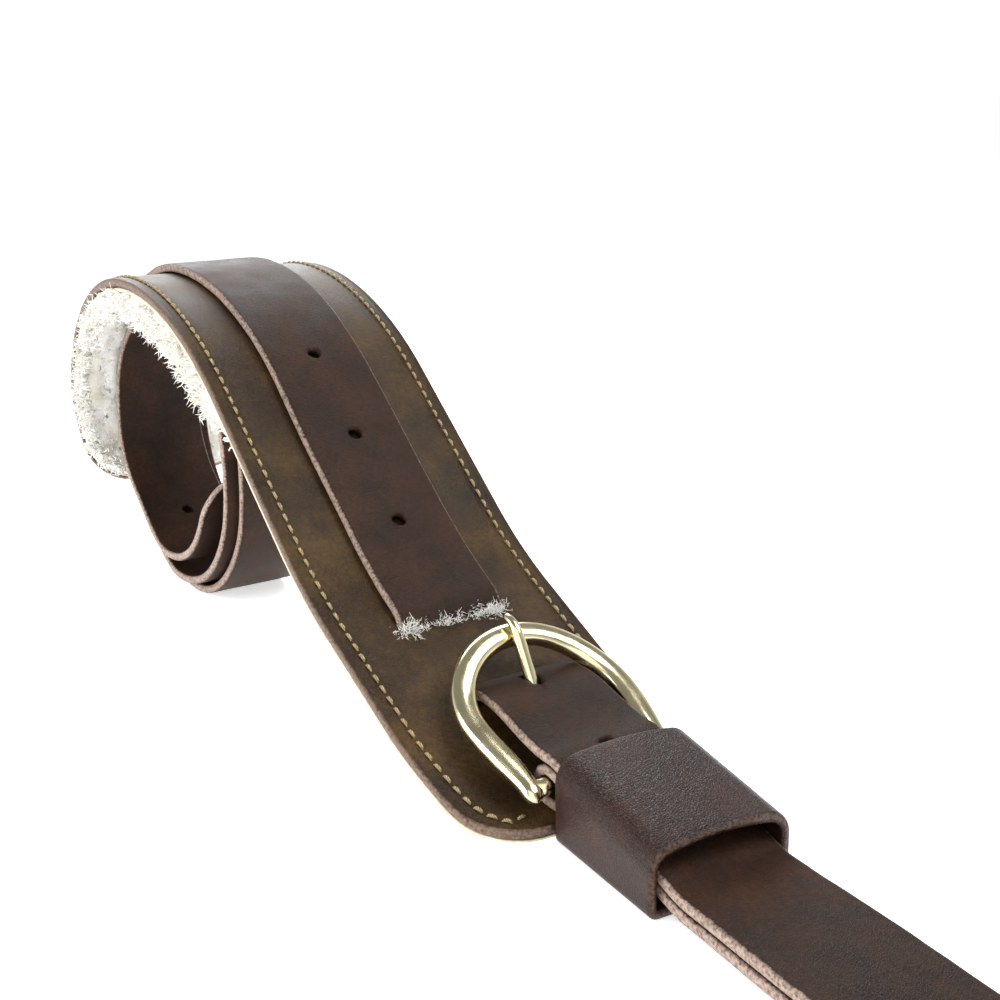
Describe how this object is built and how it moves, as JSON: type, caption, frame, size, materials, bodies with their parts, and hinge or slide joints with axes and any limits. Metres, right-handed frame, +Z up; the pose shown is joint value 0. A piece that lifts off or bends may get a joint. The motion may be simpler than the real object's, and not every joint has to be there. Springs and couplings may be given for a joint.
{
  "type": "saddle girth",
  "caption": "Sheepskin-lined leather girth strap, coiled at one end, with a horseshoe buckle, a keeper and stacked strap ends.",
  "frame": {"origin": "bottom centre of the girth's bounding box, on the surface it lies on", "axes": "+Z up, +X along the girth from the coil towards the free strap ends, +Y across it to the left"},
  "size_m": [0.5262, 0.0666, 0.1097],
  "materials": {
    "dark_brown_leather": "satin",
    "olive_brown_leather": "satin",
    "sheepskin_hide": "matte",
    "cream_wool": "matte",
    "beige_thread": "matte",
    "pale_nickel_plate": "polished"
  },
  "bodies": {
    "girth": {"pad_leather": "olive_brown_leather", "sheepskin_skin": "sheepskin_hide", "wool_pile": "cream_wool", "stitching_near": "beige_thread", "stitching_far": "beige_thread", "girth_strap": "dark_brown_leather", "buckle_strap": "dark_brown_leather", "chape_stitching_bar": "beige_thread", "chape_stitching_end": "beige_thread"},
    "frame": {"buckle_frame": "pale_nickel_plate"},
    "tongue": {"buckle_tongue": "pale_nickel_plate"},
    "keeper_band": {"keeper": "dark_brown_leather", "keeper_seam": "beige_thread"}
  },
  "joints": [
    {"name": "frame_hinge", "type": "hinge", "parent": "girth", "child": "frame", "pos_m": [0.00197, 0.0032, 0.01025], "axis": [0, 1, 0], "range_deg": [0, 1]},
    {"name": "tongue_hinge", "type": "hinge", "parent": "girth", "child": "tongue", "pos_m": [0.00197, 0.0032, 0.01025], "axis": [0, 1, 0], "range_deg": [0, 1.5]},
    {"name": "keeper_slide", "type": "slide", "parent": "girth", "child": "keeper_band", "axis": [0.9971, -0.0767, 0], "range_m": [0, 0.08]}
  ]
}
